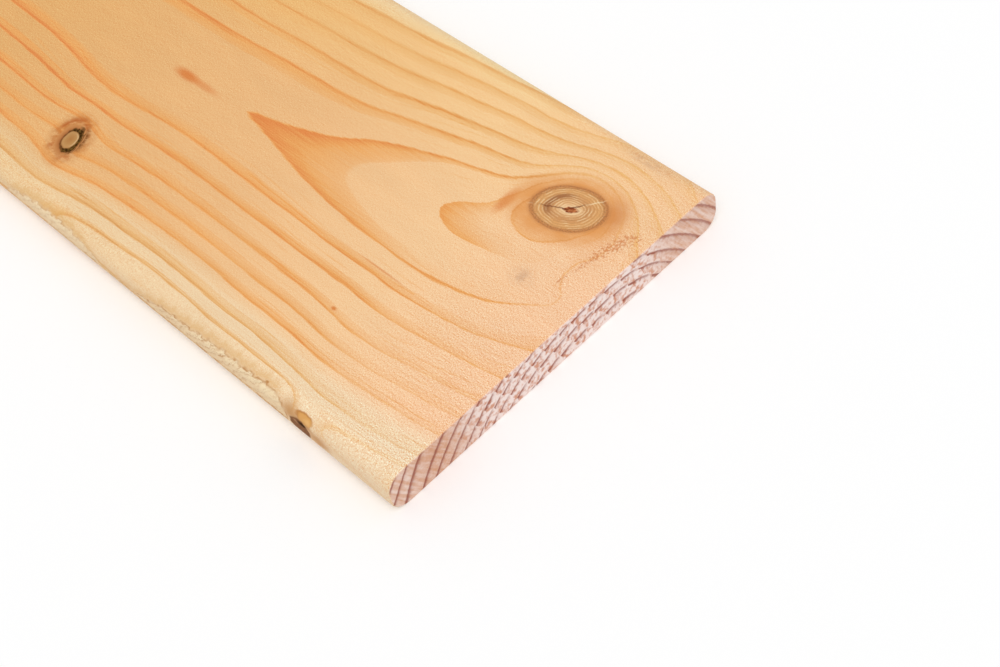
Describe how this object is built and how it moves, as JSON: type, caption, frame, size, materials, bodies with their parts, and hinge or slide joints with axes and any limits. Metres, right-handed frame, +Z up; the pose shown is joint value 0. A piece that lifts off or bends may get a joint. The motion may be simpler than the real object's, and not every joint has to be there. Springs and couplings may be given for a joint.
{
  "type": "timber plank",
  "caption": "Flat planed softwood plank with rounded long edges and square sawn ends, for fencing, cladding and shelving.",
  "frame": {"origin": "centre of the underside, on the surface the plank lies on", "axes": "+X along the grain and the length, towards the end with the large knot, +Y across the width, +Z up through the thickness"},
  "size_m": [1.8, 0.14, 0.016],
  "materials": {
    "planed_douglas_fir": "matte"
  },
  "bodies": {
    "root": {"plank": "planed_douglas_fir"}
  },
  "joints": []
}
